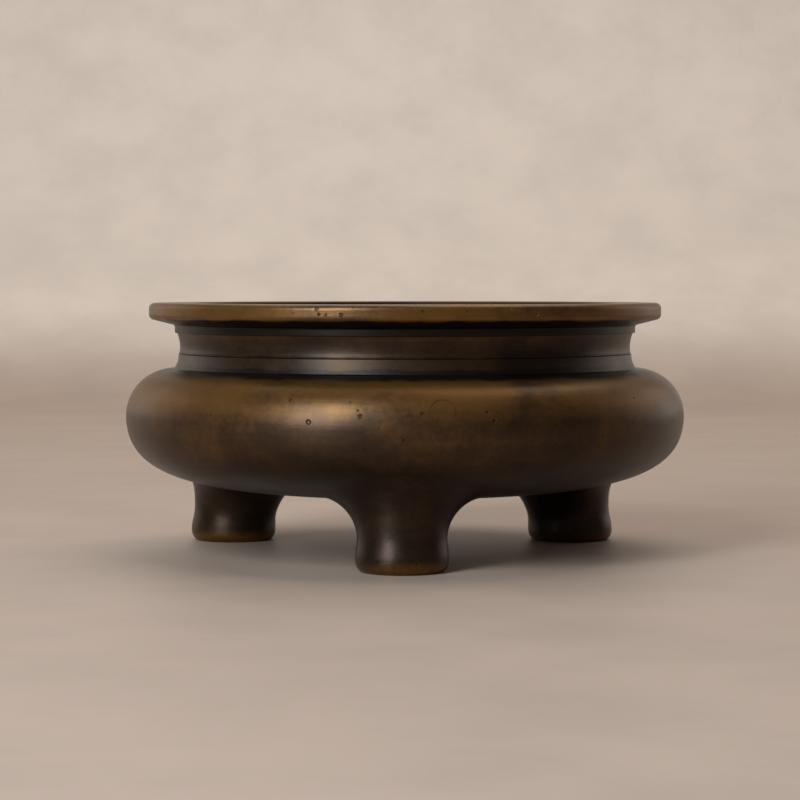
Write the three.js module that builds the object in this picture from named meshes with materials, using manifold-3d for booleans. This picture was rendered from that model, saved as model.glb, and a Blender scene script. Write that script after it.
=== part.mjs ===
// Low bronze tripod incense burner: a squat, wide-bellied bowl on three stout column feet, with a
// hollowed neck between two turned lines and a flat everted mouth rim.
// Millimetres, +Z up, origin on the table under the middle of the bowl, front foot towards -Y.
import * as THREE from "three";
import { mergeVertices } from "three/addons/utils/BufferGeometryUtils.js";
import Module from "manifold-3d";

const wasm = await Module();
wasm.setup();

// Belly of the bowl
const bellyRadius = 90;
const undersideHeight = 19.4; // table to the underside, at the edge of its middle
const lowerBellyDepth = 24.5; // underside to the widest line
const shoulderRadius = 15; // quarter round from the widest line up to the neck
const floorRadius = 26.5; // middle of the underside, which sags below the rest
const floorSag = 2.3;
const sideFullness = 0.7; // how far the lower curve runs straight down, as a share of its depth
const floorFullness = 0.74; // how far it runs level, as a share of its width
const bowlWall = 4.2;
const throatRound = 2.5; // edge between the neck's bore and the belly's inside

// Neck, read upwards from the shoulder
const shoulderLedge = 0.8; // level ring round the foot of the neck
const collarHeight = 4.8;
const collarTaper = 1.1;
const neckHeight = 6.7;
const neckHollow = 0.5; // neck's waist inside the collar's top edge
const neckFlare = 0.9; // neck's top outside its waist
const bandHeight = 2.7;
const bandStep = 0.8; // band proud of the neck below it
const neckWall = 4;

// Mouth rim
const rimOverhang = 8.3; // beyond the band
const rimEdgeHeight = 5.4;
const rimUndersideRise = 1.5; // from the band out to the rim's edge
const rimEdgeRound = 1.8;
const mouthRound = 0.8;

// Spigot joints of the three rings
const spigotWall = 2;
const spigotHeight = 3;
const spigotClearance = 0.3;

// Feet
const footCount = 3;
const footInset = 24.4; // foot's axis inside the belly's widest line
const feetShift = -1; // all the feet stand this far along X from the belly's middle
const footBaseRadius = 14.15;
const footBulgeHeight = 3.6;
const footTaper = 0.55; // from the bulge to the straight part
const footTaperLength = 7;
const soleEdge = 2.35; // worn round edge of the sole
const flareRadius = 14; // hollow curve from the foot into the belly
const outerFlareExtra = 5; // the curve's radius grows by this towards the foot's outer side
const flareEndLift = 0.3; // the curve is cut off where it is this far from the belly
const seatHeight = 1; // bowl's raised seat for a foot
const seatGap = 0.3;
const footWall = 4.2;
const soleThickness = 4.5;
const footSpigotLength = 3;
const coreClearance = 0.3;

// Round plug that fills a casting flaw in the belly, right of the front foot
const plugRadius = 3.8;
const plugClearance = 0.3;
const plugTurn = THREE.MathUtils.degToRad(7); // from the front, towards +X
const plugTilt = THREE.MathUtils.degToRad(20); // above the widest line

// Fineness of the round surfaces
const turnSteps = 48;
const footSteps = 24;
const shoulderSteps = 5;
const lowerBellySteps = 9;
const floorRings = 3;
const flareSteps = 5;
const roundSteps = 3;

// Heights and radii that follow from the sizes above
const widestHeight = undersideHeight + lowerBellyDepth;
const shoulderHeight = widestHeight + shoulderRadius;
const collarTop = shoulderHeight + collarHeight;
const neckTop = collarTop + neckHeight;
const bandTop = neckTop + bandHeight;
const rimUnderside = bandTop + rimUndersideRise;
const rimTop = rimUnderside + rimEdgeHeight;
const shoulderCentre = bellyRadius - shoulderRadius;
const collarFootRadius = shoulderCentre - shoulderLedge;
const collarTopRadius = collarFootRadius - collarTaper;
const neckWaistRadius = collarTopRadius - neckHollow;
const neckTopRadius = neckWaistRadius + neckFlare;
const bandRadius = neckTopRadius + bandStep;
const rimRadius = bandRadius + rimOverhang;
const boreRadius = neckWaistRadius - neckWall;
const spigotRadius = boreRadius + spigotWall;
const footRingRadius = bellyRadius - footInset;
const footWaistRadius = footBaseRadius - footTaper;
const footBoreRadius = footWaistRadius - footWall;
const clearOfEverything = 2 * rimTop; // how far a cutting solid reaches past the part

const bronze = new THREE.MeshStandardMaterial({ color: 0x5a4026, roughness: 0.42, metalness: 0.9 });
const rubbedBronze = new THREE.MeshStandardMaterial({ color: 0x7d5c30, roughness: 0.38, metalness: 0.9 });
const darkBronze = new THREE.MeshStandardMaterial({ color: 0x33261c, roughness: 0.5, metalness: 0.85 });
const firedClay = new THREE.MeshStandardMaterial({ color: 0x8a5a42, roughness: 0.95, metalness: 0 });

// Solids

function solidOf(geometry) {
  const positions = new THREE.BufferGeometry();
  positions.setAttribute("position", geometry.getAttribute("position"));
  positions.setIndex(geometry.getIndex());
  const merged = mergeVertices(positions);
  const triangles = [];
  const index = merged.getIndex().array;
  for (let i = 0; i < index.length; i += 3) {
    const [a, b, c] = index.slice(i, i + 3);
    if (a !== b && b !== c && c !== a) triangles.push(a, b, c);
  }
  const vertProperties = new Float32Array(merged.getAttribute("position").array);
  const triVerts = new Uint32Array(triangles);
  return new wasm.Manifold(new wasm.Mesh({ numProp: 3, vertProperties, triVerts }));
}

function meshOf(name, solid, material) {
  const { vertProperties, triVerts } = solid.getMesh();
  const geometry = new THREE.BufferGeometry();
  geometry.setAttribute("position", new THREE.BufferAttribute(vertProperties, 3));
  geometry.setIndex(new THREE.BufferAttribute(triVerts, 1));
  geometry.computeVertexNormals();
  const mesh = new THREE.Mesh(geometry, material);
  mesh.name = name;
  return mesh;
}

// A body turned about Z from [radius, height] points that run up the outside.
function turned(profile) {
  const points = profile.map(([radius, height]) => new THREE.Vector2(radius, height));
  const geometry = new THREE.LatheGeometry(points, turnSteps);
  geometry.rotateX(Math.PI / 2);
  return solidOf(geometry);
}

function closed(profile) {
  return [...profile, profile[0]];
}

// Points of a round about a centre, from one angle to another, ends included.
function roundPoints(centreRadius, centreHeight, radius, fromAngle, toAngle, steps) {
  return Array.from({ length: steps + 1 }, (_, i) => {
    const angle = fromAngle + ((toAngle - fromAngle) * i) / steps;
    return [centreRadius + radius * Math.cos(angle), centreHeight + radius * Math.sin(angle)];
  });
}

// An upright round bar between two heights.
function bar(radius, bottom, top) {
  const geometry = new THREE.CylinderGeometry(radius, radius, top - bottom, footSteps);
  geometry.rotateX(Math.PI / 2);
  geometry.translate(0, 0, (top + bottom) / 2);
  return solidOf(geometry);
}

// Belly

const lowerCurve = new THREE.CubicBezierCurve(
  new THREE.Vector2(bellyRadius, widestHeight),
  new THREE.Vector2(bellyRadius, widestHeight - sideFullness * lowerBellyDepth),
  new THREE.Vector2(floorRadius + floorFullness * (bellyRadius - floorRadius), undersideHeight),
  new THREE.Vector2(floorRadius, undersideHeight),
);

function floorHeight(radius) {
  return undersideHeight - (floorSag * (1 + Math.cos((Math.PI * radius) / floorRadius))) / 2;
}

function floorSlope(radius) {
  const turn = Math.PI / floorRadius;
  return (floorSag * turn * Math.sin(turn * radius)) / 2;
}

// The belly's outside from the middle of the underside up to the shoulder's top, moved outwards.
function bellyOutline(outwards) {
  const points = [];
  for (let i = 0; i < floorRings; i++) {
    const radius = (floorRadius * i) / floorRings;
    const slope = floorSlope(radius);
    const length = Math.hypot(1, slope);
    points.push([radius + (outwards * slope) / length, floorHeight(radius) - outwards / length]);
  }
  for (let i = lowerBellySteps; i > 0; i--) {
    const point = lowerCurve.getPoint(i / lowerBellySteps);
    const along = lowerCurve.getTangent(i / lowerBellySteps);
    points.push([point.x - outwards * along.y, point.y + outwards * along.x]);
  }
  const round = roundPoints(shoulderCentre, widestHeight, shoulderRadius + outwards, 0, Math.PI / 2, shoulderSteps);
  return [...points, ...round];
}

// Height and slope of the belly's underside at a radius between the axis and the widest line.
function undersideAt(radius) {
  if (radius <= floorRadius) return { height: floorHeight(radius), slope: floorSlope(radius) };
  let [outer, inner] = [0, 1];
  for (let i = 0; i < 40; i++) {
    const middle = (outer + inner) / 2;
    if (lowerCurve.getPoint(middle).x > radius) outer = middle;
    else inner = middle;
  }
  const along = lowerCurve.getTangent(outer);
  return { height: lowerCurve.getPoint(outer).y, slope: along.y / Math.min(along.x, -1e-6) };
}

function filledBelly(outwards) {
  return turned([...bellyOutline(outwards), [0, shoulderHeight + outwards]]);
}

// The space inside the bowl, open upwards through the neck.
function bowlInside() {
  const belly = bellyOutline(-bowlWall);
  const roof = shoulderHeight - bowlWall;
  const throat = roundPoints(boreRadius + throatRound, roof + throatRound, throatRound, -Math.PI / 2, -Math.PI, roundSteps);
  return turned([...belly, ...throat, [boreRadius, clearOfEverything], [0, clearOfEverything]]);
}

// Feet

// Where the foot's hollow flare touches the belly, in the upright plane through the foot's axis
// that stands at an angle to the outward direction.
function flareAt(angle, distance) {
  const radius = flareRadius + outerFlareExtra * Math.max(0, Math.cos(angle)) ** 2;
  const belly = (reach) => {
    const outwards = distance + reach * Math.cos(angle);
    const fromMiddle = Math.hypot(outwards, reach * Math.sin(angle));
    const { height, slope } = undersideAt(Math.min(fromMiddle, bellyRadius));
    return { height, slope: (slope * (reach + distance * Math.cos(angle))) / fromMiddle };
  };
  const centreReach = footWaistRadius + radius;
  const across = distance * Math.sin(angle);
  const edge = Math.sqrt(bellyRadius ** 2 - across ** 2) - distance * Math.cos(angle);
  let [near, far] = [footWaistRadius, Math.min(edge, 2 * centreReach)];
  for (let i = 0; i < 40; i++) {
    const reach = (near + far) / 2;
    const { slope } = belly(reach);
    if (reach + (radius * slope) / Math.hypot(1, slope) < centreReach) near = reach;
    else far = reach;
  }
  const { height, slope } = belly(near);
  const length = Math.hypot(1, slope);
  return {
    radius,
    reach: near,
    height,
    inwards: [-slope / length, 1 / length],
    centreReach,
    centreHeight: height - radius / length,
    sweep: Math.atan2(1, slope),
  };
}

// Part of the taper that is still left at a height.
function taperLeft(height) {
  const share = THREE.MathUtils.clamp((height - footBulgeHeight) / footTaperLength, 0, 1);
  return (footTaper * (1 + Math.cos(Math.PI * share))) / 2;
}

// Outline of a foot in that plane, from the sole's edge up to just inside the belly.
function footOutline(angle, distance) {
  const flare = flareAt(angle, distance);
  const points = [];
  for (let i = 0; i <= roundSteps; i++) {
    const turn = (Math.PI / 2) * (i / roundSteps);
    points.push([footBaseRadius - soleEdge * (1 - Math.sin(turn)), footBulgeHeight * (1 - Math.cos(turn))]);
  }
  for (let i = 1; i < roundSteps; i++) {
    const height = footBulgeHeight + ((flare.centreHeight - footBulgeHeight) * i) / roundSteps;
    points.push([footWaistRadius + taperLeft(height), height]);
  }
  const cutOff = Math.acos(1 - flareEndLift / flare.radius);
  for (let i = 0; i <= flareSteps; i++) {
    const turn = ((flare.sweep - cutOff) * i) / flareSteps;
    const height = flare.centreHeight + flare.radius * Math.sin(turn);
    points.push([flare.centreReach - flare.radius * Math.cos(turn) + taperLeft(height), height]);
  }
  const bite = seatHeight + flareEndLift;
  points.push([flare.reach + bite * flare.inwards[0], flare.height + bite * flare.inwards[1]]);
  return points;
}

// A whole foot about its own axis, flared up into a belly whose middle is at a distance along -X.
function flaredFoot({ distance }) {
  const positions = [];
  const index = [];
  let ringLength = 0;
  for (let j = 0; j < footSteps; j++) {
    const angle = (2 * Math.PI * j) / footSteps;
    const outline = footOutline(angle, distance);
    ringLength = outline.length;
    for (const [reach, height] of outline) {
      positions.push(reach * Math.cos(angle), reach * Math.sin(angle), height);
    }
  }
  const sole = positions.length / 3;
  positions.push(0, 0, 0);
  const top = sole + 1;
  positions.push(0, 0, shoulderHeight - bowlWall);
  for (let j = 0; j < footSteps; j++) {
    const here = j * ringLength;
    const next = ((j + 1) % footSteps) * ringLength;
    index.push(sole, next, here);
    index.push(top, here + ringLength - 1, next + ringLength - 1);
    for (let i = 0; i < ringLength - 1; i++) {
      index.push(here + i, next + i, here + i + 1);
      index.push(here + i + 1, next + i, next + i + 1);
    }
  }
  const geometry = new THREE.BufferGeometry();
  geometry.setAttribute("position", new THREE.Float32BufferAttribute(positions, 3));
  geometry.setIndex(index);
  return solidOf(geometry);
}

const footPlaces = Array.from({ length: footCount }, (_, i) => {
  const angle = THREE.MathUtils.degToRad(-90 - (360 * i) / footCount);
  const x = footRingRadius * Math.cos(angle) + feetShift;
  const y = footRingRadius * Math.sin(angle);
  return { x, y, distance: Math.hypot(x, y), turn: THREE.MathUtils.radToDeg(Math.atan2(y, x)) };
});
const footNames = ["front", "left", "right"];

function atFoot(solid, { turn, x, y }) {
  return solid.rotate([0, 0, turn]).translate([x, y, 0]);
}

const footSpigotEnd = undersideAt(footRingRadius - footBoreRadius).height - seatHeight - footSpigotLength;

function foot(place) {
  const seatCut = filledBelly(seatHeight + seatGap);
  const bore = bar(footBoreRadius, soleThickness, clearOfEverything);
  return atFoot(flaredFoot(place).subtract(bore), place).subtract(seatCut);
}

function footCore(place) {
  const core = bar(footBoreRadius - coreClearance, soleThickness + coreClearance, footSpigotEnd - coreClearance);
  return atFoot(core, place);
}

// Bowl, with its seats and spigots for the feet and its spigot for the neck

function bowl() {
  const outside = turned([
    ...bellyOutline(0),
    [collarFootRadius, shoulderHeight],
    [collarTopRadius + collarTaper / 4, shoulderHeight + collarHeight / 2],
    [collarTopRadius, collarTop],
    [spigotRadius, collarTop],
    [spigotRadius, collarTop + spigotHeight],
    [0, collarTop + spigotHeight],
  ]);
  const seatZone = filledBelly(seatHeight);
  const spigotTop = undersideAt(footRingRadius + footBoreRadius).height;
  const spigot = bar(footBoreRadius - coreClearance, footSpigotEnd, spigotTop);
  let body = outside;
  for (const place of footPlaces) {
    body = body.add(atFoot(flaredFoot(place), place).intersect(seatZone)).add(atFoot(spigot, place));
  }
  return body.subtract(bowlInside());
}

// Plug: a short bar that lies along the belly's own outward direction.

function plugBar(radius) {
  const along = bar(radius, shoulderRadius - 2 * bowlWall, shoulderRadius + bowlWall);
  const tilted = along.rotate([0, 90 - THREE.MathUtils.radToDeg(plugTilt), 0]);
  return tilted.translate([shoulderCentre, 0, widestHeight]).rotate([0, 0, THREE.MathUtils.radToDeg(plugTurn) - 90]);
}

// Rings

function neckBand() {
  const waistHeight = collarTop + neckHeight * 0.3;
  return turned(
    closed([
      [spigotRadius + spigotClearance, collarTop],
      [collarTopRadius - neckHollow / 2, collarTop],
      [neckWaistRadius, waistHeight],
      [neckWaistRadius + neckFlare / 6, (waistHeight + neckTop) / 2],
      [neckTopRadius - neckFlare / 3, neckTop - neckHeight / 8],
      [neckTopRadius, neckTop],
      [spigotRadius, neckTop],
      [spigotRadius, neckTop + spigotHeight],
      [boreRadius, neckTop + spigotHeight],
      [boreRadius, collarTop + spigotHeight + spigotClearance],
      [spigotRadius + spigotClearance, collarTop + spigotHeight + spigotClearance],
    ]),
  );
}

function mouthRim() {
  const edgeCentre = rimRadius - rimEdgeRound;
  const rebate = spigotRadius + spigotClearance;
  const rebateTop = neckTop + spigotHeight + spigotClearance;
  const quarter = Math.PI / 2;
  return turned(
    closed([
      [rebate, neckTop],
      [bandRadius, neckTop],
      [bandRadius, bandTop - rimUndersideRise / 2],
      [bandRadius + rimUndersideRise / 2, bandTop],
      ...roundPoints(edgeCentre, rimUnderside + rimEdgeRound, rimEdgeRound, -quarter, 0, roundSteps),
      ...roundPoints(edgeCentre, rimTop - rimEdgeRound, rimEdgeRound, 0, quarter, roundSteps),
      ...roundPoints(boreRadius + mouthRound, rimTop - mouthRound, mouthRound, quarter, 2 * quarter, roundSteps),
      [boreRadius, rebateTop],
      [rebate, rebateTop],
    ]),
  );
}

const burner = new THREE.Group();
const wholeBowl = bowl();
burner.add(meshOf("bowl", wholeBowl.subtract(plugBar(plugRadius + plugClearance)), bronze));
burner.add(meshOf("belly_plug", wholeBowl.intersect(plugBar(plugRadius)), bronze));
burner.add(meshOf("neck_band", neckBand(), darkBronze));
burner.add(meshOf("mouth_rim", mouthRim(), rubbedBronze));
footPlaces.forEach((place, i) => {
  burner.add(meshOf(`foot_${footNames[i]}`, foot(place), bronze));
  burner.add(meshOf(`foot_core_${footNames[i]}`, footCore(place), firedClay));
});

export default burner;
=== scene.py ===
import math

import bmesh
import bpy
from mathutils import Euler, Matrix, Vector, noise
from mathutils.bvhtree import BVHTree


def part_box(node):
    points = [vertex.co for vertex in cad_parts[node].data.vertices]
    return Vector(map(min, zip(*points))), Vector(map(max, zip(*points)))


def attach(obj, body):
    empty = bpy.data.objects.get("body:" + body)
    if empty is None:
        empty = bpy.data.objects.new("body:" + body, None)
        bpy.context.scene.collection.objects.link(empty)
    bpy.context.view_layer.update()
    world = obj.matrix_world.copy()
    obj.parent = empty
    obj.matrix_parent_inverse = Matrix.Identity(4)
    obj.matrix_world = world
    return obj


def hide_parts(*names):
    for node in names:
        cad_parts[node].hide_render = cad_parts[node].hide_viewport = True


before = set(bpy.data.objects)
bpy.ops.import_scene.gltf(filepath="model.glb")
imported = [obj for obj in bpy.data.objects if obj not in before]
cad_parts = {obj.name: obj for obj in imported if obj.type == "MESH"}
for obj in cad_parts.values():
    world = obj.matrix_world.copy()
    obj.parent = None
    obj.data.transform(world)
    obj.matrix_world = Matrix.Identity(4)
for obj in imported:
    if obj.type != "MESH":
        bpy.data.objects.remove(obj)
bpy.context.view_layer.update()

mm = 0.001
weld = 1e-6  # points of a mesh that are closer than this are one point
halvings = 40  # steps of each search for a point on a curve
nudge = 1e-4  # how far to either side of a curve's point its slope is taken
tiny = 1e-9  # keeps a divisor off zero
noiseRange = (0.3, 0.7)  # where nearly all of a noise texture's values lie

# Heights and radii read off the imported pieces
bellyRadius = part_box("bowl")[1][0]
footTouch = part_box("foot_front")[0][2]
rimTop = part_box("mouth_rim")[1][2]
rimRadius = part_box("mouth_rim")[1][0]
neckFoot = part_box("neck_band")[0][2]
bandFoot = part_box("mouth_rim")[0][2]


# Mesh helpers

def arc(centreR, centreZ, radius, fromDeg, toDeg, steps):
    points = []
    for i in range(steps + 1):
        a = math.radians(fromDeg + (toDeg - fromDeg) * i / steps)
        points.append((centreR + radius * math.cos(a), centreZ + radius * math.sin(a)))
    return points


def addMesh(name, verts, faces):
    mesh = bpy.data.meshes.new(name)
    mesh.from_pydata(verts, [], faces)
    mesh.validate()
    bm = bmesh.new()
    bm.from_mesh(mesh)
    bmesh.ops.remove_doubles(bm, verts=bm.verts, dist=weld)
    bmesh.ops.recalc_face_normals(bm, faces=bm.faces)
    bm.to_mesh(mesh)
    bm.free()
    obj = bpy.data.objects.new(name, mesh)
    bpy.context.scene.collection.objects.link(obj)
    return obj


def smooth(obj, sharpAngle=35):
    for poly in obj.data.polygons:
        poly.use_smooth = True
    obj.data.set_sharp_from_angle(angle=math.radians(sharpAngle))


# A solid turned about Z; the profile closes on itself or starts and ends on the axis
def turned(name, profile, around, closed=True):
    verts, faces = [], []
    count = len(profile)
    for j in range(around):
        a = 2 * math.pi * j / around
        for r, z in profile:
            verts.append((r * math.cos(a), r * math.sin(a), z))
    last = count if closed else count - 1
    for j in range(around):
        here, there = j * count, ((j + 1) % around) * count
        for i in range(last):
            k = (i + 1) % count
            faces.append((here + i, there + i, there + k, here + k))
    return addMesh(name, verts, faces)


# Slow waviness of a hand-finished casting, always inwards so that the size holds
def roughen(obj, amount, waveLength):
    for v in obj.data.vertices:
        flat = Vector((v.co.x, v.co.y, 0))
        if flat.length < weld:
            continue
        lump = noise.noise(v.co / waveLength) * 0.5 + 0.5
        v.co -= flat.normalized() * lump * amount


# The sooty inside gets its own colour, so its points are marked
def markInside(obj, isInside):
    layer = obj.data.attributes.new("inside", "FLOAT", "POINT")
    for v, item in zip(obj.data.vertices, layer.data):
        item.value = float(isInside(math.hypot(v.co.x, v.co.y), v.co.z))


# Belly, shoulder and collar

bowlSettings = {
    "undersideHeight": 19.4 * mm,
    "floorRadius": 26.5 * mm,
    "floorSag": 2.3 * mm,
    "shoulderRadius": 15 * mm,
    "depth": 24.5 * mm,
    "sideFullness": 0.7,
    "floorFullness": 0.74,
    "wall": 4.2 * mm,
    "ledge": 0.8 * mm,
    "taper": 1.1 * mm,
    "ledgeRound": 0.7 * mm,
    "edgeRound": 0.2 * mm,
    "throatRound": 2.5 * mm,
    "spigotWall": 2 * mm,
    "spigotHeight": 3 * mm,
    "unevenness": 0.1 * mm,
    "waveLength": 30 * mm,
    "around": 288,
    "floorSteps": 10,
    "sideSteps": 44,
    "shoulderSteps": 26,
    "ledgeSteps": 5,
    "edgeSteps": 3,
    "throatSteps": 8,
}

widestHeight = bowlSettings["undersideHeight"] + bowlSettings["depth"]
shoulderCentre = bellyRadius - bowlSettings["shoulderRadius"]
shoulderTop = widestHeight + bowlSettings["shoulderRadius"]
collarFootRadius = shoulderCentre - bowlSettings["ledge"]
collarTopRadius = collarFootRadius - bowlSettings["taper"]


# Side of the belly, from its widest place at t = 0 to the edge of its floor at t = 1
def bezier(t):
    s = bowlSettings
    p = [
        (bellyRadius, widestHeight),
        (bellyRadius, widestHeight - s["sideFullness"] * s["depth"]),
        (s["floorRadius"] + s["floorFullness"] * (bellyRadius - s["floorRadius"]), s["undersideHeight"]),
        (s["floorRadius"], s["undersideHeight"]),
    ]
    w = [(1 - t) ** 3, 3 * t * (1 - t) ** 2, 3 * t * t * (1 - t), t ** 3]
    return (sum(a * b[0] for a, b in zip(w, p)), sum(a * b[1] for a, b in zip(w, p)))


# Height and slope of the outside below the widest place
def undersideAt(radius):
    s = bowlSettings
    if radius <= s["floorRadius"]:
        turn = math.pi / s["floorRadius"]
        height = s["undersideHeight"] - s["floorSag"] * (1 + math.cos(turn * radius)) / 2
        return height, s["floorSag"] * turn * math.sin(turn * radius) / 2
    outer, inner = 0.0, 1.0
    for _ in range(halvings):
        middle = (outer + inner) / 2
        if bezier(middle)[0] > radius:
            outer = middle
        else:
            inner = middle
    a, b = bezier(max(outer - nudge, 0)), bezier(min(outer + nudge, 1))
    return bezier(outer)[1], (b[1] - a[1]) / min(b[0] - a[0], -tiny)


# The bowl's outside up to the top of its shoulder, moved outwards, or inwards for the inner wall
def bellyOutline(outwards):
    s = bowlSettings
    points = []
    for i in range(s["floorSteps"]):
        r = s["floorRadius"] * i / s["floorSteps"]
        z, slope = undersideAt(r)
        length = math.hypot(1, slope)
        points.append((r + outwards * slope / length, z - outwards / length))
    for i in range(s["sideSteps"], 0, -1):
        t = i / s["sideSteps"]
        a, b = bezier(max(t - nudge, 0)), bezier(min(t + nudge, 1))
        dr, dz = b[0] - a[0], b[1] - a[1]
        length = math.hypot(dr, dz)
        r, z = bezier(t)
        points.append((r - outwards * dz / length, z + outwards * dr / length))
    points += arc(shoulderCentre, widestHeight, s["shoulderRadius"] + outwards, 0, 90, s["shoulderSteps"])
    return points


def bowlProfile():
    s = bowlSettings
    fillet, edge, throat = s["ledgeRound"], s["edgeRound"], s["throatRound"]
    outside = bellyOutline(0)
    outside += arc(collarFootRadius + fillet, shoulderTop + fillet, fillet, 270, 180, s["ledgeSteps"])
    outside += [(collarTopRadius + s["taper"] / 4, (shoulderTop + neckFoot) / 2)]
    outside += arc(collarTopRadius - edge, neckFoot - edge, edge, 0, 90, s["edgeSteps"])
    outside += [(spigotRadius, neckFoot), (spigotRadius, neckFoot + s["spigotHeight"])]
    outside += [(boreRadius, neckFoot + s["spigotHeight"])]
    roof = shoulderTop - s["wall"]
    inside = bellyOutline(-s["wall"])
    inside += arc(boreRadius + throat, roof + throat, throat, 270, 180, s["throatSteps"])
    return outside + inside[::-1]


def insideBowl(r, z):
    s = bowlSettings
    if z > widestHeight:
        depth = math.hypot(max(r - shoulderCentre, 0), z - widestHeight)
        return insideRing(r, z) or depth < s["shoulderRadius"] - s["wall"] / 2
    return z > undersideAt(r)[0] + s["wall"] / 2


def makeBowl():
    s = bowlSettings
    bowl = turned("bowlSurface", bowlProfile(), s["around"], closed=False)
    roughen(bowl, s["unevenness"], s["waveLength"])
    return bowl


# Plug in the shoulder

plugSettings = {
    "radius": 3.8 * mm,
    "seam": 0.07 * mm,
    "slip": 0.9,  # share of the seam by which the plug has slipped down
    "turn": 7,
    "tilt": 20,
    "barLength": 14 * mm,
    "barSunk": 1 * mm,
    "around": 96,
}


# Short bar along the belly's outward direction, where the plug sits
def plugBar(radius, drop=0.0):
    s = plugSettings
    bpy.ops.mesh.primitive_cylinder_add(vertices=s["around"], radius=radius, depth=s["barLength"])
    bar = bpy.context.object
    out = bowlSettings["shoulderRadius"] - s["barSunk"]
    tilt = Matrix.Rotation(math.radians(90 - s["tilt"]), 4, "Y")
    turn = Matrix.Rotation(math.radians(s["turn"] - 90), 4, "Z")
    place = turn @ Matrix.Translation((shoulderCentre, 0, widestHeight)) @ tilt
    bar.data.transform(place @ Matrix.Translation((drop, 0, out)))
    return bar


def cutWith(obj, tool, operation):
    mod = obj.modifiers.new("cut", "BOOLEAN")
    mod.operation = operation
    mod.solver = "EXACT"
    mod.object = tool
    graph = bpy.context.evaluated_depsgraph_get()
    result = bpy.data.meshes.new_from_object(obj.evaluated_get(graph))
    obj.modifiers.clear()
    obj.data = result


def makePlug(bowl):
    s = plugSettings
    plug = bowl.copy()
    plug.data = bowl.data.copy()
    plug.name = "bellyPlugSurface"
    bpy.context.scene.collection.objects.link(plug)
    inner = plugBar(s["radius"] - s["seam"], s["seam"] * s["slip"])
    outer = plugBar(s["radius"])
    cutWith(plug, inner, "INTERSECT")
    cutWith(bowl, outer, "DIFFERENCE")
    for tool in (inner, outer):
        bpy.data.objects.remove(tool)
    for piece in (bowl, plug):
        markInside(piece, insideBowl)
    return plug


# Hollowed ring of the neck

neckSettings = {
    "hollow": 0.5 * mm,
    "flare": 0.9 * mm,
    "wall": 4 * mm,
    "edgeRound": 0.25 * mm,
    "waistShare": 0.3,
    "insideMargin": 0.3 * mm,
    "around": 288,
    "edgeSteps": 3,
    "hollowSteps": 12,
}

neckWaist = collarTopRadius - neckSettings["hollow"]
neckTopRadius = neckWaist + neckSettings["flare"]
boreRadius = neckWaist - neckSettings["wall"]
spigotRadius = boreRadius + bowlSettings["spigotWall"]


def insideRing(r, z):
    return r < boreRadius + neckSettings["insideMargin"]


def makeNeck():
    s = neckSettings
    e = s["edgeRound"]
    low, high = neckFoot, bandFoot
    footRadius = collarTopRadius - s["hollow"] / 2
    points = [(spigotRadius, low), (footRadius - e, low)]
    points += arc(footRadius - e, low + e, e, 270, 360, s["edgeSteps"])
    waist = low + (high - low) * s["waistShare"]
    for i in range(1, s["hollowSteps"] + 1):
        z = low + 2 * e + (high - low - 2 * e) * i / s["hollowSteps"]
        if z < waist:
            r = neckWaist + s["hollow"] / 2 * ((waist - z) / (waist - low)) ** 2
        else:
            r = neckWaist + s["flare"] * ((z - waist) / (high - waist)) ** 2
        points.append((r, z))
    points += [(boreRadius, high), (boreRadius, low)]
    neck = turned("neckBandSurface", points, s["around"])
    markInside(neck, insideRing)
    return neck


# Mouth rim with the narrow proud band under it

rimSettings = {
    "bandStep": 0.8 * mm,
    "bandHeight": 2.7 * mm,
    "bandRound": 0.3 * mm,
    "hollowRound": 0.9 * mm,
    "rise": 1.5 * mm,
    "undersideTilt": 10,
    "edgeRound": 1.8 * mm,
    "mouthRound": 0.8 * mm,
    "faceSwell": 0.15 * mm,
    "flatFromEdge": 5 * mm,
    "flatFromMouth": 6 * mm,
    "unevenness": 0.12 * mm,
    "waveLength": 20 * mm,
    "around": 288,
    "bandSteps": 3,
    "hollowSteps": 5,
    "edgeSteps": 6,
    "faceSteps": 4,
    "mouthSteps": 5,
}

bandRadius = neckTopRadius + rimSettings["bandStep"]
bandTop = bandFoot + rimSettings["bandHeight"]
rimUnderside = bandTop + rimSettings["rise"]


def makeRim():
    s = rimSettings
    e, b, h, m = s["edgeRound"], s["bandRound"], s["hollowRound"], s["mouthRound"]
    points = [(spigotRadius, bandFoot)]
    points += arc(bandRadius - b, bandFoot + b, b, 270, 360, s["bandSteps"])
    points += arc(bandRadius + h, bandTop - h, h, 180, 90 + s["undersideTilt"], s["hollowSteps"])
    points += arc(rimRadius - e, rimUnderside + e, e, 270 + s["undersideTilt"], 360, s["edgeSteps"])
    for i in range(1, s["faceSteps"]):
        share = i / s["faceSteps"]
        z = rimUnderside + e + (rimTop - rimUnderside - 2 * e) * share
        points.append((rimRadius - s["faceSwell"] * (2 * share - 1) ** 2, z))
    points += arc(rimRadius - e, rimTop - e, e, 0, 90, s["edgeSteps"])
    points += [(rimRadius - s["flatFromEdge"], rimTop), (boreRadius + s["flatFromMouth"], rimTop)]
    points += arc(boreRadius + m, rimTop - m, m, 90, 180, s["mouthSteps"])
    points += [(boreRadius, bandFoot)]
    rim = turned("mouthRimSurface", points, s["around"])
    markInside(rim, insideRing)
    roughen(rim, s["unevenness"], s["waveLength"])
    return rim


# Feet

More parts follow.
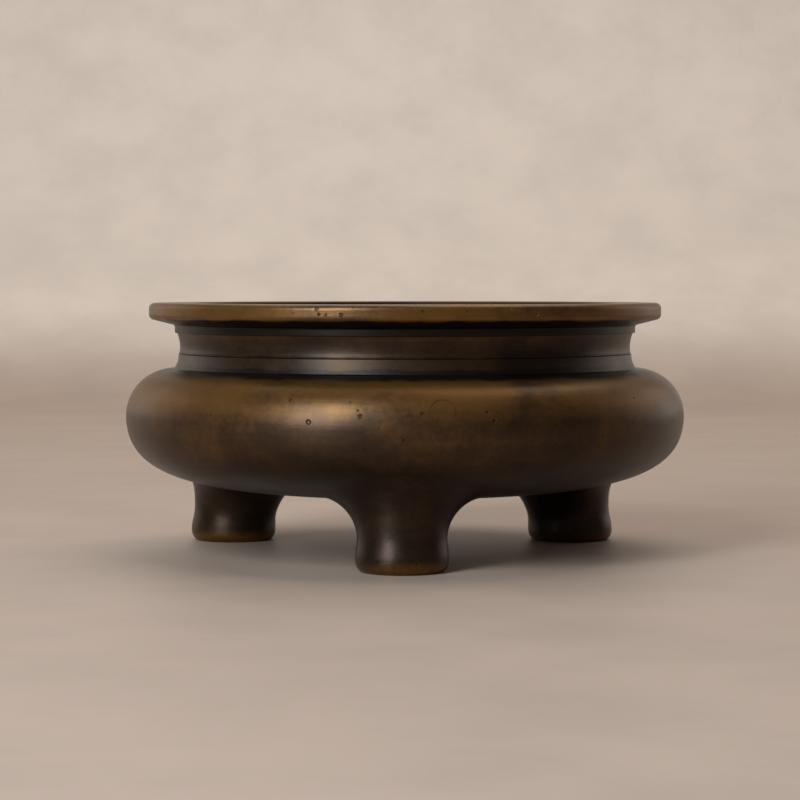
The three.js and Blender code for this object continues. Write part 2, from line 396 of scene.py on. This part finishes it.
footSettings = {
    "turns": {"front": -90, "left": -210, "right": -330},
    "inset": 24.4 * mm,
    "shift": -1 * mm,
    "baseRadius": 14.15 * mm,
    "bulgeHeight": 3.6 * mm,
    "taper": 0.55 * mm,
    "taperLength": 7 * mm,
    "soleEdge": 2.35 * mm,
    "flareRadius": 14 * mm,
    "outerFlareExtra": 5 * mm,
    "lean": 0.7 * mm,
    "leanHeight": 12 * mm,
    "leanEnd": 24 * mm,
    "wall": 4.2 * mm,
    "soleThickness": 4.5 * mm,
    "bite": 0.5 * mm,
    "around": 120,
    "bulgeSteps": 8,
    "shaftSteps": 10,
    "flareSteps": 24,
}

footRing = bellyRadius - footSettings["inset"]
footWaist = footSettings["baseRadius"] - footSettings["taper"]


# Where the hollow curve of a foot touches the belly, in one upright plane through the foot
def flareAt(angle, distance):
    s = footSettings
    radius = s["flareRadius"] + s["outerFlareExtra"] * max(0, math.cos(angle)) ** 2
    centreReach = footWaist + radius

    def belly(reach):
        r = math.hypot(distance + reach * math.cos(angle), reach * math.sin(angle))
        z, slope = undersideAt(min(r, bellyRadius))
        return z, slope * (reach + distance * math.cos(angle)) / r

    across = distance * math.sin(angle)
    edge = math.sqrt(bellyRadius ** 2 - across ** 2) - distance * math.cos(angle)
    near, far = footWaist, min(edge, 2 * centreReach)
    for _ in range(halvings):
        reach = (near + far) / 2
        slope = belly(reach)[1]
        if reach + radius * slope / math.hypot(1, slope) < centreReach:
            near = reach
        else:
            far = reach
    z, slope = belly(near)
    length = math.hypot(1, slope)
    return {"radius": radius, "reach": near, "height": z, "slope": slope, "length": length,
            "centreReach": centreReach, "centreHeight": z - radius / length, "sweep": math.atan2(1, slope)}


# What is left of the bulge above the sole at a height
def taperLeft(z):
    s = footSettings
    share = min(max((z - s["bulgeHeight"]) / s["taperLength"], 0), 1)
    return s["taper"] * (1 + math.cos(math.pi * share)) / 2


# The middle of a foot leans towards the axis between its bulge and its flare
def leanAt(z):
    s = footSettings
    if z < s["leanHeight"]:
        share = max(z - s["bulgeHeight"], 0) / (s["leanHeight"] - s["bulgeHeight"])
    else:
        share = max(s["leanEnd"] - z, 0) / (s["leanEnd"] - s["leanHeight"])
    return s["lean"] * share * share * (3 - 2 * share)


def footOutline(angle, distance):
    s = footSettings
    flare = flareAt(angle, distance)
    points = []
    for i in range(s["bulgeSteps"] + 1):
        a = math.pi / 2 * i / s["bulgeSteps"]
        reach = s["baseRadius"] - s["soleEdge"] * (1 - math.sin(a))
        points.append((reach, s["bulgeHeight"] * (1 - math.cos(a))))
    for i in range(1, s["shaftSteps"]):
        z = s["bulgeHeight"] + (flare["centreHeight"] - s["bulgeHeight"]) * i / s["shaftSteps"]
        points.append((footWaist + taperLeft(z), z))
    for i in range(s["flareSteps"] + 1):
        a = flare["sweep"] * i / s["flareSteps"]
        z = flare["centreHeight"] + flare["radius"] * math.sin(a)
        points.append((flare["centreReach"] - flare["radius"] * math.cos(a) + taperLeft(z), z))
    bite = s["bite"] / flare["length"]
    points.append((flare["reach"] - bite * flare["slope"], flare["height"] + bite))
    bore = footWaist - s["wall"]
    r = math.hypot(distance + bore * math.cos(angle), bore * math.sin(angle))
    points.append((bore, undersideAt(r)[0] + s["bite"]))
    points.append((bore, s["soleThickness"]))
    return points


def makeFoot(side):
    s = footSettings
    around = s["around"]
    turn = math.radians(s["turns"][side])
    x = footRing * math.cos(turn) + s["shift"]
    y = footRing * math.sin(turn)
    verts, faces = [], []
    for j in range(around):
        angle = 2 * math.pi * j / around
        outline = footOutline(angle, math.hypot(x, y))
        for reach, z in outline:
            verts.append((reach * math.cos(angle) - leanAt(z), reach * math.sin(angle), z + footTouch))
    count = len(outline)
    sole = len(verts)
    verts += [(0, 0, footTouch), (0, 0, s["soleThickness"])]
    for j in range(around):
        here, there = j * count, ((j + 1) % around) * count
        faces.append((sole, there, here))
        faces.append((sole + 1, here + count - 1, there + count - 1))
        for i in range(count - 1):
            faces.append((here + i, there + i, there + i + 1, here + i + 1))
    foot = addMesh(f"{side}FootSurface", verts, faces)
    foot.data.transform(Matrix.Translation((x, y, 0)) @ Matrix.Rotation(math.atan2(y, x), 4, "Z"))
    roughen(foot, bowlSettings["unevenness"], bowlSettings["waveLength"])
    return foot


# Camera fitted to the photograph, and the casting pits that it shows

cameraSettings = {
    "place": (-0.0016, -0.835, 0.0859),
    "tiltDown": 2.567,
    "focalPixels": 2577.5,
    "framePixels": 800,
    "sensor": 36,
}
cameraTurn = Euler((math.radians(90 - cameraSettings["tiltDown"]), 0, 0))

# Each pit's pixel in the photograph, across and down, and its radius in mm
pitPixels = {
    "bowl": [
        (308, 422, 0.9), (422, 413, 0.8), (256, 386, 0.4), (216, 408, 0.4), (210, 415, 0.5), (290, 399, 0.6),
        (350, 402, 0.35), (360, 416, 0.7), (357, 410, 0.3), (487, 412, 0.6), (494, 420, 0.7),
        (541, 440, 0.35), (555, 439, 0.4), (673, 421, 0.5), (503, 425, 0.3), (378, 427, 0.3),
    ],
    "rim": [
        (292, 312, 0.4), (221, 312, 0.3), (316, 309, 0.7), (318, 314, 0.6), (325, 314, 0.5), (340, 314, 0.7),
        (352, 307, 0.4), (401, 307, 0.4), (422, 311, 0.3), (467, 311, 0.4), (511, 308, 0.5),
        (537, 314, 0.5), (605, 315, 0.4),
    ],
    "frontFoot": [(389, 538, 0.2), (377, 562, 0.4), (417, 565, 0.5)],
}


# Places on a piece's surface that the camera sees at the given pixels
def pitsOn(piece, pixels):
    s = cameraSettings
    corners = [v.co for v in piece.data.vertices]
    tree = BVHTree.FromPolygons(corners, [p.vertices for p in piece.data.polygons])
    middle = s["framePixels"] / 2
    pits = []
    for across, down, radius in pixels:
        ray = Vector((across + 0.5 - middle, middle - down - 0.5, -s["focalPixels"])).normalized()
        ray.rotate(cameraTurn)
        place = tree.ray_cast(Vector(s["place"]), ray)[0]
        pits.append((place, radius * mm))
    return pits


# Node helpers

def nodeIn(tree, kind, inputs=None, **props):
    node = tree.nodes.new(kind)
    for key, value in props.items():
        setattr(node, key, value)
    for key, value in (inputs or {}).items():
        if isinstance(value, bpy.types.NodeSocket):
            tree.links.new(value, node.inputs[key])
        else:
            node.inputs[key].default_value = value
    return node


def clouded(tree, where, texture):
    return nodeIn(tree, "ShaderNodeTexNoise", {"Vector": where, **texture}).outputs["Fac"]


def stretched(tree, where, scale):
    return nodeIn(tree, "ShaderNodeMapping", {"Vector": where, "Scale": scale}).outputs["Vector"]


def ramp(tree, source, stops):
    node = nodeIn(tree, "ShaderNodeValToRGB", {"Fac": source})
    band = node.color_ramp
    while len(band.elements) < len(stops):
        band.elements.new(0.5)
    for element, (place, colour) in zip(band.elements, stops):
        element.position = place
        element.color = (*colour, 1)
    return node.outputs["Color"]


def between(tree, source, low, high, toLow=0.0, toHigh=1.0):
    node = nodeIn(tree, "ShaderNodeMapRange", {"Value": source, "From Min": low, "From Max": high,
                                               "To Min": toLow, "To Max": toHigh})
    node.interpolation_type = "SMOOTHSTEP"
    return node.outputs["Result"]


def sums(tree, operation, a, b, clamp=True):
    return nodeIn(tree, "ShaderNodeMath", {0: a, 1: b}, operation=operation, use_clamp=clamp).outputs[0]


def blendColour(tree, fac, a, b):
    return nodeIn(tree, "ShaderNodeMix", {0: fac, 6: a, 7: b}, data_type="RGBA").outputs[2]


# Aged bronze

bronzeColours = {
    "deep": (0.019, 0.0098, 0.0055),
    "brown": (0.046, 0.0235, 0.0105),
    "olive": (0.092, 0.045, 0.0145),
    "rubbed": (0.160, 0.074, 0.0165),
    # Dark colour of the neck's joint line and of pits, also used for the painted shadow and shade of the rim
    "grimeAndShade": (0.0065, 0.0050, 0.0042),
    "soot": (0.034, 0.0215, 0.0125),
}
bronzeTextures = {
    "clouds": {"Scale": 26.0, "Detail": 10.0, "Roughness": 0.6, "Distortion": 0.5},
    "specks": {"Scale": 520.0, "Detail": 6.0, "Roughness": 0.7},
    "ragged": {"Scale": 110.0, "Detail": 6.0},
    "brushed": {"Scale": 3.0, "Detail": 8.0, "Roughness": 0.65},
    "drift": {"Scale": 4.0, "Detail": 5.0},
}
bronzeSettings = {
    "brushedStretch": (9.0, 9.0, 560.0),
    "driftStretch": (6.0, 6.0, 70.0),
    "wander": 0.4 * mm,
    "blotches": {"clouds": 0.46, "specks": 0.20, "ragged": 0.16, "drift": 0.12},
    # Tone offsets at the low and the high end of the painted shade
    "shadeTones": (-0.11, 0.045),
    "tonePlaces": {"deep": 0.34, "brown": 0.48, "olive": 0.60},
    "wornFrom": 0.34,
    "wornFull": 0.54,
    "wornLeast": 0.25,
    "edgePoint": (0.53, 0.60),
    "sootPlaces": {"grimeAndShade": 0.36, "soot": 0.60},
    "metallic": 0.65,
    "specular": 0.4,
    "ior": 1.5,
    "roughness": (0.24, 0.34),
    "speckRoughness": 0.12,
    "sootRoughness": 0.25,
}
pitSettings = {
    "cellScale": 130.0,
    "chosenFrom": 0.90,
    "chosenFull": 0.92,
    "width": (0.03, 0.10),
    "edge": (0.6, 1.2),
    "core": 0.45,
    "depthShare": 0.9,
    "crumble": 0.25 * mm,
    "darkness": 0.7,
}
bumpSettings = {
    "specks": {"Strength": 0.10, "Distance": 0.4 * mm},
    "brushed": {"Strength": 0.14, "Distance": 0.3 * mm},
    "pits": {"Strength": 0.7, "Distance": 0.6 * mm},
}


# Heights given in mm above or below a place on the pieces
def heightsFrom(place, *steps):
    return tuple(place + step * mm for step in steps)


# A band shows from its first height, is full from the second to the third, and is gone at the fourth;
# the number beside a dark band is its strength; on the bowl and the rim the dark bands are painted shadow
# and shade of the rim, on the neck a dark joint line
finishes = {
    "bronzePatina": {
        "rubbed": [
            heightsFrom(widestHeight, 0.1) + heightsFrom(shoulderTop, -5.9, -2.1, -0.9),
            heightsFrom(footTouch, -2, -1, 1.5, 4.5),
        ],
        # Painted shadow of the rim on the top of the shoulder, and painted shade under the rim on the collar
        "grimeAndShade": [
            (heightsFrom(shoulderTop, -1.5, -0.6, 1.1, 2.1), 0.93),
            (heightsFrom(shoulderTop, 0.1, 1.1) + heightsFrom(bandFoot, -0.4, 0.6), 0.62),
        ],
        "gold": 0.7,
        # Painted shade, partly the patina's own tone: darker low on the belly, lighter towards the shoulder,
        # between these heights
        "shade": (20 * mm, 52 * mm),
        "tone": 0.0,
        "edgeWear": 0.0,
    },
    "bronzeDark": {
        "rubbed": [heightsFrom(bandFoot, -1.9, -0.4, 0.6, 1.6)],
        "grimeAndShade": [(heightsFrom(neckFoot, -0.7, -0.2, 0.3, 0.8), 0.8)],
        "gold": 0.2,
        "shade": (0 * mm, 1 * mm),
        "tone": -0.13,
        "edgeWear": 0.3,
    },
    "bronzeRubbed": {
        "rubbed": [heightsFrom(rimUnderside, -0.4, 0.6) + heightsFrom(rimTop, -1, 10)],
        # Painted shade under the rim, over the proud band and the rim's underside
        "grimeAndShade": [(heightsFrom(bandFoot, -1.4, -0.6) + heightsFrom(rimUnderside, -0.1, 0.7), 0.92)],
        "gold": 0.75,
        "shade": (0 * mm, 1 * mm),
        "tone": 0.03,
        "edgeWear": 0.5,
    },
}


def heightBand(tree, height, band):
    low, full, fade, end = band
    up = between(tree, height, low, full)
    down = between(tree, height, fade, end, 1.0, 0.0)
    return sums(tree, "MULTIPLY", up, down)


# How much of the rubbed gold shows: in its bands, broken by the blotches, and on sharp edges
def wornShare(tree, height, blotches, finish):
    s = bronzeSettings
    worn = 0.0
    for band in finish["rubbed"]:
        worn = sums(tree, "MAXIMUM", worn, heightBand(tree, height, band))
    pattern = between(tree, blotches, s["wornFrom"], s["wornFull"], s["wornLeast"], 1.0)
    worn = sums(tree, "MULTIPLY", sums(tree, "MULTIPLY", worn, pattern), finish["gold"])
    if not finish["edgeWear"]:
        return worn
    edge = between(tree, nodeIn(tree, "ShaderNodeNewGeometry").outputs["Pointiness"], *s["edgePoint"])
    return sums(tree, "MAXIMUM", worn, sums(tree, "MULTIPLY", edge, finish["edgeWear"]))


# Casting pits: a few scattered by cells, and the placed ones with crumbled edges
def pitShare(tree, where, specks, pits):
    s = pitSettings
    cells = nodeIn(tree, "ShaderNodeTexVoronoi", {"Vector": where, "Scale": s["cellScale"]})
    pick = nodeIn(tree, "ShaderNodeSeparateColor", {"Color": cells.outputs["Color"]})
    chosen = between(tree, pick.outputs["Red"], s["chosenFrom"], s["chosenFull"])
    width = between(tree, pick.outputs["Green"], 0.0, 1.0, *s["width"])
    inPit = sums(tree, "DIVIDE", cells.outputs["Distance"], width, clamp=False)
    pit = sums(tree, "MULTIPLY", between(tree, inPit, *s["edge"], 1.0, 0.0), chosen)
    crumble = between(tree, specks, *noiseRange, -s["crumble"], s["crumble"])
    for place, radius in pits:
        gap = nodeIn(tree, "ShaderNodeVectorMath", {0: where, 1: place}, operation="DISTANCE")
        edge = sums(tree, "ADD", gap.outputs["Value"], crumble, clamp=False)
        hole = between(tree, edge, radius * s["core"], radius, s["depthShare"], 0.0)
        pit = sums(tree, "MAXIMUM", pit, hole)
    return pit


# Mottled brown, darker low down partly as painted shade, rubbed golden where it is touched, painted dark
# with the rim's shadow and shade, dark at the neck's joint and in pits, sooty inside
def makeBronze(name, pits):
    material = bpy.data.materials.new(name)
    material.use_nodes = True
    tree = material.node_tree
    shader = tree.nodes["Principled BSDF"]
    s = bronzeSettings
    finish = finishes[name]

    where = nodeIn(tree, "ShaderNodeTexCoord").outputs["Object"]
    wheres = {
        "brushed": stretched(tree, where, s["brushedStretch"]),
        "drift": stretched(tree, where, s["driftStretch"]),
    }
    noises = {}
    for key, texture in bronzeTextures.items():
        noises[key] = clouded(tree, wheres.get(key, where), texture)

    # Heights wander by under half a millimetre, so no band ends on a ruled line
    torn = between(tree, noises["ragged"], *noiseRange, -s["wander"], s["wander"])
    height = nodeIn(tree, "ShaderNodeSeparateXYZ", {"Vector": where}).outputs["Z"]
    height = sums(tree, "ADD", height, torn, clamp=False)

    blotches = 0.0
    for key, share in s["blotches"].items():
        blotches = sums(tree, "ADD", blotches, sums(tree, "MULTIPLY", noises[key], share))
    # Painted shade: darker low on the belly and lighter up top, partly the patina's own tone and partly
    # where the light from above falls less
    darker, lighter = (finish["tone"] + tone for tone in s["shadeTones"])
    mottle = sums(tree, "ADD", blotches, between(tree, height, *finish["shade"], darker, lighter))
    colour = ramp(tree, mottle, [(place, bronzeColours[key]) for key, place in s["tonePlaces"].items()])

    worn = wornShare(tree, height, blotches, finish)
    grimeAndShade = (*bronzeColours["grimeAndShade"], 1)
    colour = blendColour(tree, worn, colour, (*bronzeColours["rubbed"], 1))
    # Dark bands: painted shadow and shade of the rim on the bowl and the rim, and the neck's dark joint line
    for band, strength in finish["grimeAndShade"]:
        zone = sums(tree, "MULTIPLY", heightBand(tree, height, band), strength)
        colour = blendColour(tree, zone, colour, grimeAndShade)
    pit = pitShare(tree, where, noises["specks"], pits)
    colour = blendColour(tree, sums(tree, "MULTIPLY", pit, pitSettings["darkness"]), colour, grimeAndShade)
    inside = nodeIn(tree, "ShaderNodeAttribute", attribute_name="inside").outputs["Fac"]
    soot = ramp(tree, blotches, [(place, bronzeColours[key]) for key, place in s["sootPlaces"].items()])
    colour = blendColour(tree, inside, colour, soot)
    tree.links.new(colour, shader.inputs["Base Color"])

    polish = between(tree, noises["clouds"], *noiseRange, *s["roughness"])
    rough = sums(tree, "ADD", polish, sums(tree, "MULTIPLY", noises["specks"], s["speckRoughness"]))
    rough = sums(tree, "ADD", rough, sums(tree, "MULTIPLY", inside, s["sootRoughness"]))
    tree.links.new(rough, shader.inputs["Roughness"])
    shader.inputs["Metallic"].default_value = s["metallic"]
    shader.inputs["Specular IOR Level"].default_value = s["specular"]
    shader.inputs["IOR"].default_value = s["ior"]

    b = bumpSettings
    fine = nodeIn(tree, "ShaderNodeBump", {"Height": noises["specks"], **b["specks"]})
    lines = nodeIn(tree, "ShaderNodeBump", {"Height": noises["brushed"], "Normal": fine.outputs["Normal"],
                                            **b["brushed"]})
    holes = nodeIn(tree, "ShaderNodeBump", {"Height": sums(tree, "SUBTRACT", 1.0, pit),
                                            "Normal": lines.outputs["Normal"], **b["pits"]})
    tree.links.new(holes.outputs["Normal"], shader.inputs["Normal"])
    return material


# Fired clay of the cores

claySettings = {
    "grit": {"Scale": 300.0, "Detail": 8.0},
    "tones": [(0.35, (0.16, 0.08, 0.05)), (0.65, (0.42, 0.25, 0.16))],
    "roughness": 0.95,
    "bump": {"Strength": 0.5, "Distance": 0.6 * mm},
}


def makeClay():
    s = claySettings
    material = bpy.data.materials.new("firedClay")
    material.use_nodes = True
    tree = material.node_tree
    shader = tree.nodes["Principled BSDF"]
    where = nodeIn(tree, "ShaderNodeTexCoord").outputs["Object"]
    grit = clouded(tree, where, s["grit"])
    tree.links.new(ramp(tree, grit, s["tones"]), shader.inputs["Base Color"])
    shader.inputs["Roughness"].default_value = s["roughness"]
    bump = nodeIn(tree, "ShaderNodeBump", {"Height": grit, **s["bump"]})
    tree.links.new(bump.outputs["Normal"], shader.inputs["Normal"])
    return material


def dress(piece, material, slotName, *nodes):
    piece.data.materials.clear()
    piece.data.materials.append(material)
    smooth(piece)
    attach(piece, "root")
    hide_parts(*nodes)


print("turning the bowl, the neck and the rim")
bowl = makeBowl()
plug = makePlug(bowl)
neck = makeNeck()
rim = makeRim()

print("raising the feet")
feet = {side: makeFoot(side) for side in footSettings["turns"]}

print("colouring the bronze and the clay")
bodyPits = pitsOn(bowl, pitPixels["bowl"]) + pitsOn(feet["front"], pitPixels["frontFoot"])
bodyBronze = makeBronze("bronzePatina", bodyPits)
dress(bowl, bodyBronze, "bronze_patina", "bowl")
dress(plug, bodyBronze, "bronze_patina", "belly_plug")
dress(neck, makeBronze("bronzeDark", []), "bronze_dark", "neck_band")
dress(rim, makeBronze("bronzeRubbed", pitsOn(rim, pitPixels["rim"])), "bronze_rubbed", "mouth_rim")
clay = makeClay()
for side, foot in feet.items():
    dress(foot, bodyBronze, "bronze_patina", f"foot_{side}")
    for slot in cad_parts[f"foot_core_{side}"].material_slots:
        slot.material = clay


# Floor and backdrop in one sweep

stageSettings = {
    "floorColour": (0.410, 0.318, 0.262),
    "backColour": (0.72, 0.630, 0.555),
    "fadeHeight": 0.07,
    "fibres": {"Scale": 16.0, "Detail": 9.0, "Roughness": 0.62},
    "fibreTones": (0.94, 1.05),
    "roughness": 0.5,
    "reach": 3.0,
    "behind": 0.9,
    "bend": 0.5,
    "bendSteps": 16,
    "height": 2.5,
}


def makeStage():
    s = stageSettings
    line = [(-s["reach"], 0)]
    for i in range(s["bendSteps"] + 1):
        a = math.pi / 2 * i / s["bendSteps"]
        line.append((s["behind"] + s["bend"] * math.sin(a), s["bend"] * (1 - math.cos(a))))
    line.append((s["behind"] + s["bend"], s["height"]))
    verts, faces = [], []
    for y, z in line:
        verts += [(-s["reach"], y, z), (s["reach"], y, z)]
    for i in range(len(line) - 1):
        a = 2 * i
        faces.append((a, a + 1, a + 3, a + 2))
    sweep = addMesh("sweep", verts, faces)
    for poly in sweep.data.polygons:
        poly.use_smooth = True

    material = bpy.data.materials.new("paper")
    material.use_nodes = True
    tree = material.node_tree
    shader = tree.nodes["Principled BSDF"]
    where = nodeIn(tree, "ShaderNodeTexCoord").outputs["Object"]
    height = nodeIn(tree, "ShaderNodeSeparateXYZ", {"Vector": where}).outputs["Z"]
    rise = between(tree, height, 0.0, s["fadeHeight"])
    colour = blendColour(tree, rise, (*s["floorColour"], 1), (*s["backColour"], 1))
    tone = between(tree, clouded(tree, where, s["fibres"]), *noiseRange, *s["fibreTones"])
    faded = nodeIn(tree, "ShaderNodeHueSaturation", {"Color": colour, "Value": tone})
    tree.links.new(faded.outputs["Color"], shader.inputs["Base Color"])
    shader.inputs["Roughness"].default_value = s["roughness"]
    sweep.data.materials.append(material)


# Lamps: a tall window left of the camera, a soft sheet overhead, a pale wall far back on either side

lampSettings = {
    "windowLeft": {"place": (-0.60, -0.89, 0.56), "aim": (0, 0, 0.06), "size": (0.42, 0.95), "power": 15.5,
                   "colour": (0.88, 0.96, 1.0)},
    "fillTop": {"place": (0.1, 0.5, 1.3), "aim": (0, 0.3, 0.05), "size": (1.5, 1.2), "power": 11.5,
                "colour": (1.0, 0.96, 0.91)},
    "wall": {"place": (1.15, 0.75, 0.42), "aim": (0, 0, 0.05), "size": (1.0, 0.8), "power": 1.9,
             "colour": (1.0, 0.92, 0.84)},
}
worldSettings = {"colour": (0.86, 0.76, 0.67), "strength": 0.16}


# A lamp as its settings place it, or mirrored to the left where side is -1
def addLamp(name, side=1):
    s = lampSettings[name]
    place = Vector(s["place"])
    place.x *= side
    data = bpy.data.lights.new(name, "AREA")
    data.shape = "RECTANGLE"
    data.size, data.size_y = s["size"]
    data.energy = s["power"]
    data.color = s["colour"]
    lamp = bpy.data.objects.new(name, data)
    lamp.location = place
    lamp.rotation_euler = (Vector(s["aim"]) - place).to_track_quat("-Z", "Y").to_euler()
    lamp.visible_camera = False
    bpy.context.scene.collection.objects.link(lamp)


def makeWorld():
    world = bpy.data.worlds.new("room")
    bpy.context.scene.world = world
    world.use_nodes = True
    background = world.node_tree.nodes["Background"]
    background.inputs["Color"].default_value = (*worldSettings["colour"], 1)
    background.inputs["Strength"].default_value = worldSettings["strength"]


def addCamera():
    s = cameraSettings
    data = bpy.data.cameras.new("camera")
    data.sensor_width = s["sensor"]
    data.lens = s["sensor"] * s["focalPixels"] / s["framePixels"]
    camera = bpy.data.objects.new("camera", data)
    camera.location = s["place"]
    camera.rotation_euler = cameraTurn
    bpy.context.scene.collection.objects.link(camera)
    bpy.context.scene.camera = camera


print("setting the floor, the lights and the camera")
makeStage()
makeWorld()
addLamp("windowLeft")
addLamp("fillTop")
for side in (-1, 1):
    addLamp("wall", side)
addCamera()
bpy.context.scene.view_settings.view_transform = "Standard"
